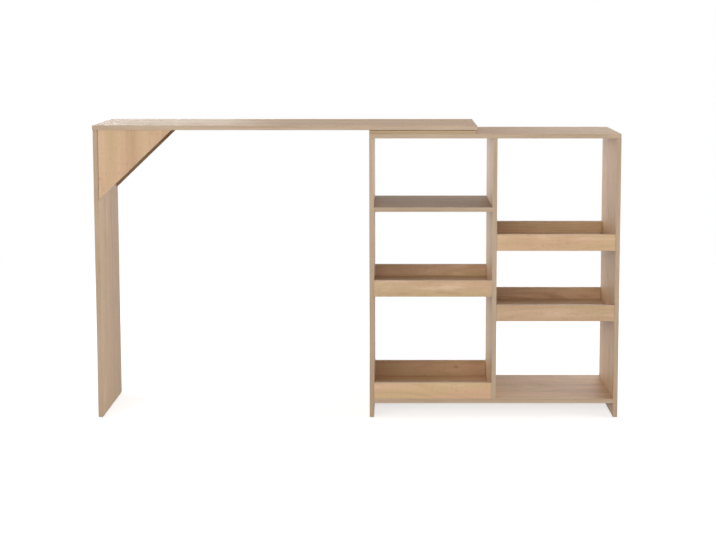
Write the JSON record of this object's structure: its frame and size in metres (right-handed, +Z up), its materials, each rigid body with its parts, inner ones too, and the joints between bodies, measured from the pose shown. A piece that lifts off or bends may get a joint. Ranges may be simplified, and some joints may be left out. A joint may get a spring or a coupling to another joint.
{
  "type": "bar table",
  "caption": "Tall narrow bar table: a long top on a braced panel leg, swivelling on an open shelf unit with lipped trays.",
  "frame": {"origin": "on the floor, under the middle of the whole table as it stands in one line", "axes": "+X along the table, from the leg towards the shelf unit; +Y from the front to the back; +Z up"},
  "size_m": [1.898, 0.39, 1.07],
  "materials": {
    "oak_board": "matt light oak foil on particle board, banded edges",
    "plated_steel": "zinc-plated steel",
    "zinc": "die-cast zinc",
    "brass": "machined",
    "white_nylon": "moulded",
    "beech": "plain fluted dowel",
    "brown_plastic": "moulded"
  },
  "bodies": {
    "shelf_unit": {"bottom_back_lip": "oak_board", "bottom_board": "oak_board", "bottom_front_lip": "oak_board", "bottom_screw_left_back": "plated_steel", "bottom_screw_left_front": "plated_steel", "bottom_screw_right_back": "plated_steel", "bottom_screw_right_front": "plated_steel", "divider": "oak_board", "divider_screw_back": "plated_steel", "divider_screw_front": "plated_steel", "glide_ring": "white_nylon", "left_side": "oak_board", "left_side_glide_back": "brown_plastic", "left_side_glide_front": "brown_plastic", "left_tray_back_lip": "oak_board", "left_tray_board": "oak_board", "left_tray_front_lip": "oak_board", "pivot_bushing": "white_nylon", "plain_shelf": "oak_board", "right_lower_tray_back_lip": "oak_board", "right_lower_tray_board": "oak_board", "right_lower_tray_front_lip": "oak_board", "right_side": "oak_board", "right_side_glide_back": "brown_plastic", "right_side_glide_front": "brown_plastic", "right_upper_tray_back_lip": "oak_board", "right_upper_tray_board": "oak_board", "right_upper_tray_front_lip": "oak_board", "shelf_stud_left_back": "plated_steel", "shelf_stud_left_front": "plated_steel", "shelf_stud_right_back": "plated_steel", "shelf_stud_right_front": "plated_steel", "spacer_board": "oak_board", "spacer_screw_left_back": "plated_steel", "spacer_screw_left_front": "plated_steel", "spacer_screw_right_back": "plated_steel", "spacer_screw_right_front": "plated_steel", "top_screw_left_back": "plated_steel", "top_screw_left_front": "plated_steel", "top_screw_middle_back": "plated_steel", "top_screw_middle_front": "plated_steel", "top_screw_right_back": "plated_steel", "top_screw_right_front": "plated_steel", "unit_top_board": "oak_board"},
    "table": {"brace_back_cheek": "oak_board", "brace_dowel_back": "beech", "brace_dowel_front": "beech", "brace_front_cheek": "oak_board", "insert_nut": "brass", "leg_cam_back": "zinc", "leg_cam_bolt_back": "plated_steel", "leg_cam_bolt_front": "plated_steel", "leg_cam_front": "zinc", "leg_glide_back": "brown_plastic", "leg_glide_front": "brown_plastic", "leg_panel": "oak_board", "pivot_bolt": "plated_steel", "pivot_washer": "plated_steel", "tabletop": "oak_board"}
  },
  "joints": [
    {"name": "swivel", "type": "hinge", "parent": "shelf_unit", "child": "table", "pos_m": [0.2375, 0, 1.054], "axis": [0, 0, 1], "continuous": true}
  ]
}
